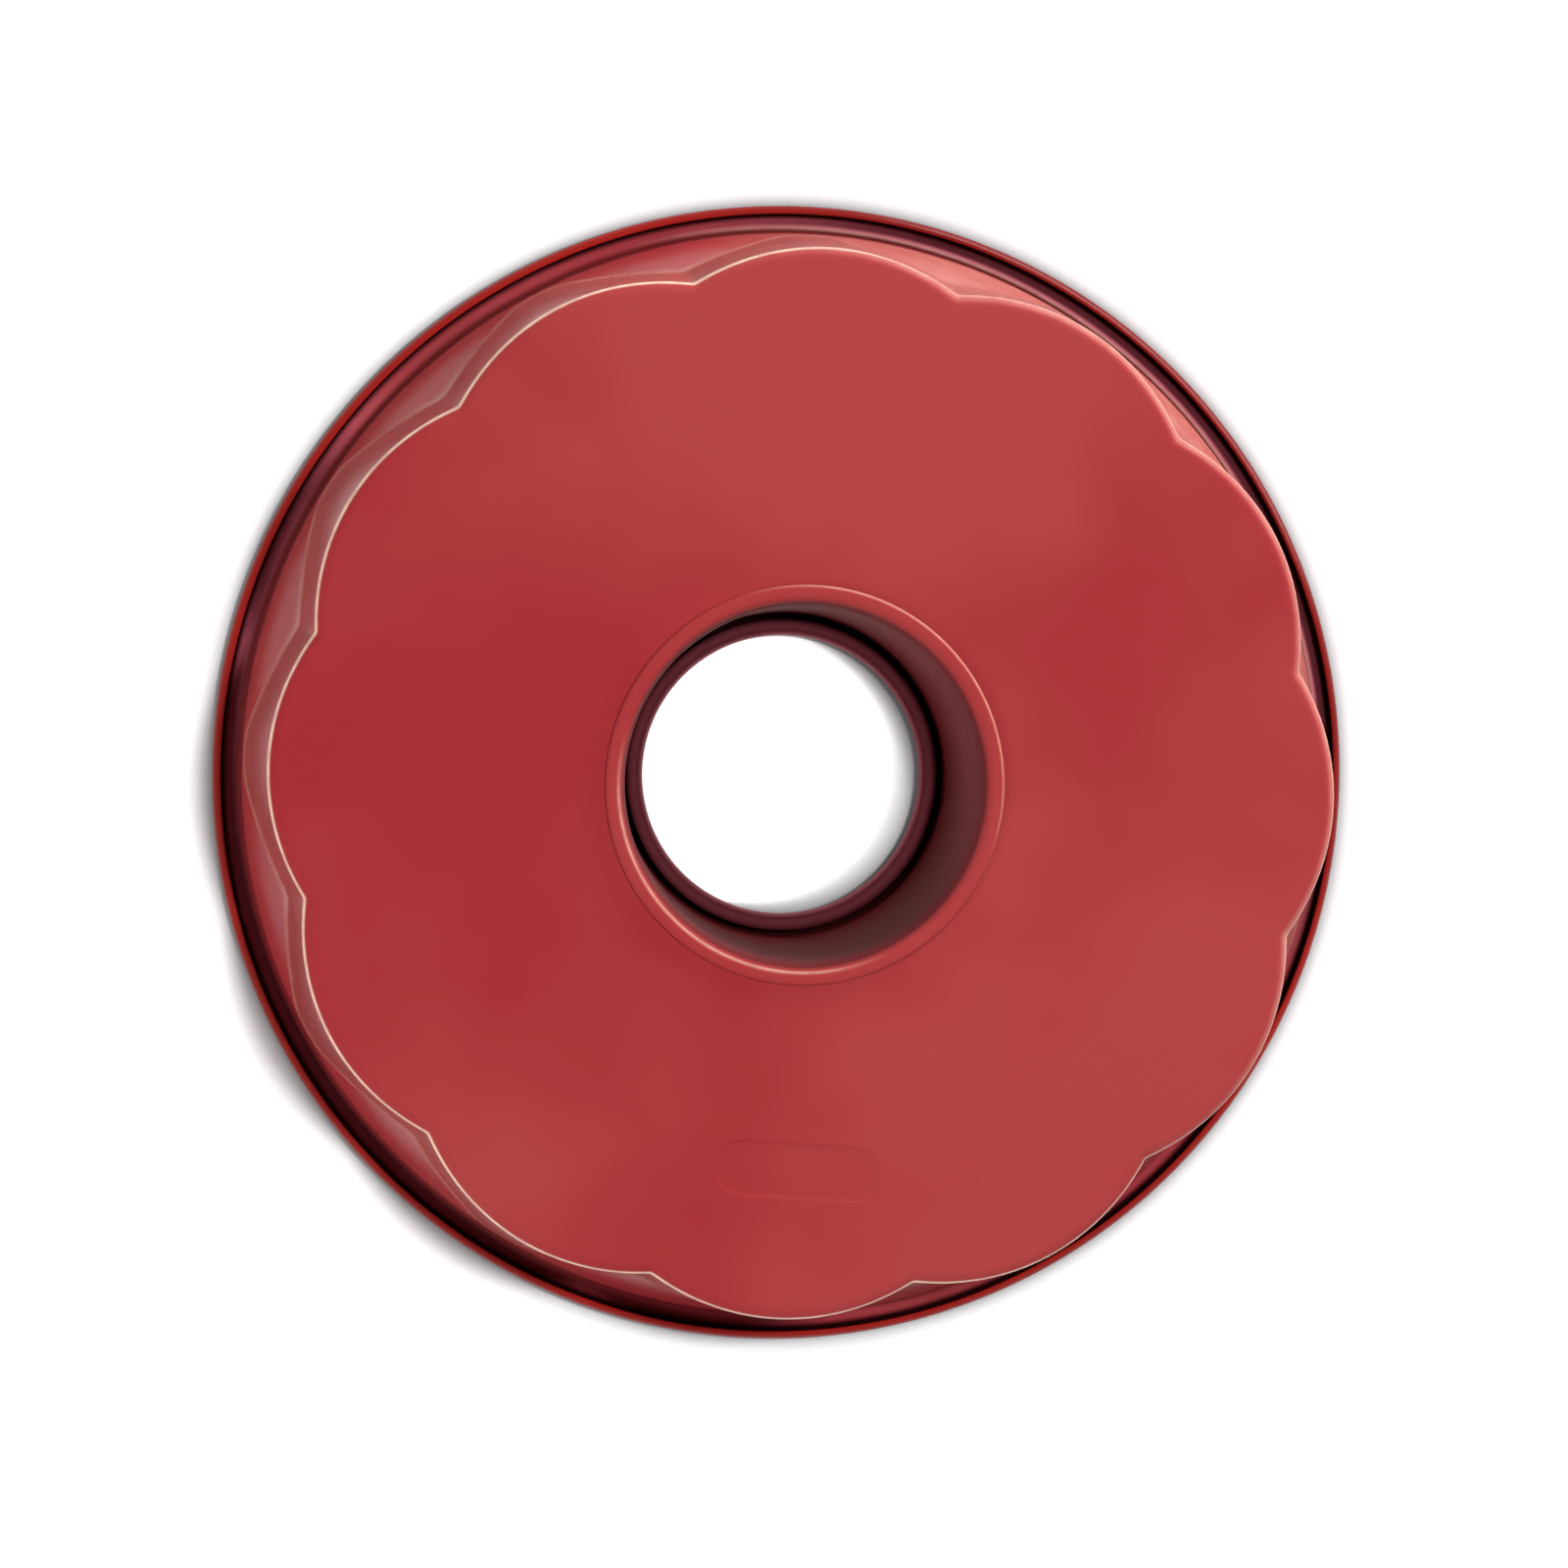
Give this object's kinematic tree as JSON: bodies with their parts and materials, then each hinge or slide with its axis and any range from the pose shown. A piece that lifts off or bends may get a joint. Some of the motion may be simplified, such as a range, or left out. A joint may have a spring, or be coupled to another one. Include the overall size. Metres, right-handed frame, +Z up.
{
  "type": "fluted tube pan",
  "caption": "Round cake pan with a lobed wall, a rolled rim and a centre tube seamed into its flat base; it lies upside down on its rim.",
  "frame": {"origin": "centre of the plane that the rolled rim rests on", "axes": "+Z up along the pan's axis and out of its base; +X and +Y are right and up in the picture, and -Y points to the blank panel on the base"},
  "size_m": [0.28, 0.28, 0.0593],
  "materials": {
    "body_coating": "satin red non-stick coating on pressed steel sheet",
    "tube_coating": "satin red non-stick coating on drawn steel tube, a little darker than the body"
  },
  "bodies": {
    "root": {"fluted_body": "body_coating", "centre_tube": "tube_coating"}
  },
  "joints": []
}
